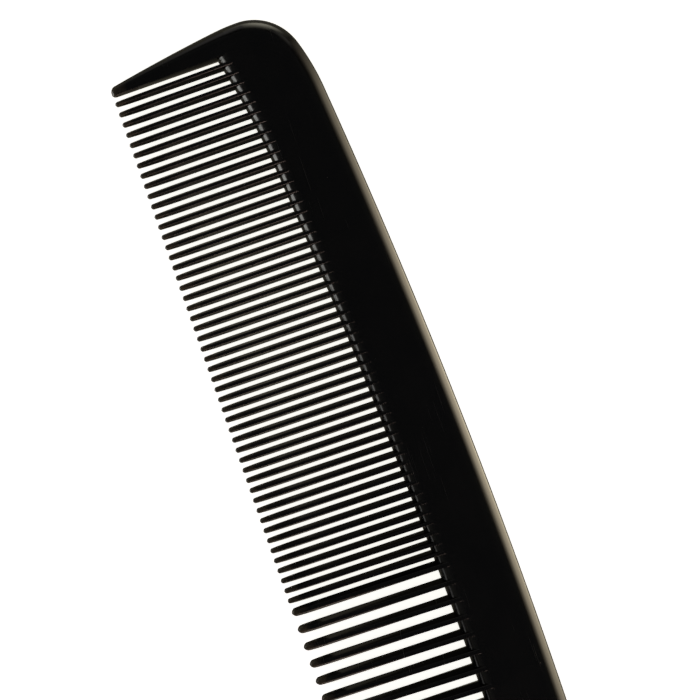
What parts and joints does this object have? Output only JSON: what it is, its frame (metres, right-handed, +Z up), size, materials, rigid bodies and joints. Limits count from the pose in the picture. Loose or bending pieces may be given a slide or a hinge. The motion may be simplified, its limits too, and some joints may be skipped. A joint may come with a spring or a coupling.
{
  "type": "hair comb",
  "caption": "Straight black plastic styling comb with fine teeth along one half, coarse teeth along the other, a bowed spine and a guard at each end.",
  "frame": {"origin": "under the middle of the comb's bounding box, on the plane of the spine's lower face, with the comb lying flat", "axes": "+X along the comb from the fine teeth to the coarse teeth, +Y from the tooth tips to the back of the spine, +Z up through the thickness"},
  "size_m": [0.178, 0.0284, 0.0038],
  "materials": {
    "black_plastic": "polished black plastic, lightly scuffed"
  },
  "bodies": {
    "root": {"spine": "black_plastic", "fine_end_guard": "black_plastic", "coarse_end_guard": "black_plastic", "fine_teeth_01": "black_plastic", "fine_teeth_02": "black_plastic", "fine_teeth_03": "black_plastic", "fine_teeth_04": "black_plastic", "fine_teeth_05": "black_plastic", "fine_teeth_06": "black_plastic", "fine_teeth_07": "black_plastic", "fine_teeth_08": "black_plastic", "fine_teeth_09": "black_plastic", "fine_teeth_10": "black_plastic", "fine_teeth_11": "black_plastic", "fine_teeth_12": "black_plastic", "fine_teeth_13": "black_plastic", "fine_teeth_14": "black_plastic", "fine_teeth_15": "black_plastic", "fine_teeth_16": "black_plastic", "fine_teeth_17": "black_plastic", "fine_teeth_18": "black_plastic", "fine_teeth_19": "black_plastic", "fine_teeth_20": "black_plastic", "fine_teeth_21": "black_plastic", "fine_teeth_22": "black_plastic", "fine_teeth_23": "black_plastic", "fine_teeth_24": "black_plastic", "fine_teeth_25": "black_plastic", "coarse_teeth_01": "black_plastic", "coarse_teeth_02": "black_plastic", "coarse_teeth_03": "black_plastic", "coarse_teeth_04": "black_plastic", "coarse_teeth_05": "black_plastic", "coarse_teeth_06": "black_plastic", "coarse_teeth_07": "black_plastic", "coarse_teeth_08": "black_plastic", "coarse_teeth_09": "black_plastic", "coarse_teeth_10": "black_plastic", "coarse_teeth_11": "black_plastic", "coarse_teeth_12": "black_plastic", "coarse_teeth_13": "black_plastic", "coarse_teeth_14": "black_plastic", "coarse_teeth_15": "black_plastic", "coarse_teeth_16": "black_plastic", "coarse_teeth_17": "black_plastic", "coarse_teeth_18": "black_plastic", "coarse_teeth_19": "black_plastic", "coarse_teeth_20": "black_plastic", "coarse_teeth_21": "black_plastic", "coarse_teeth_22": "black_plastic", "coarse_teeth_23": "black_plastic", "coarse_teeth_24": "black_plastic"}
  },
  "joints": []
}
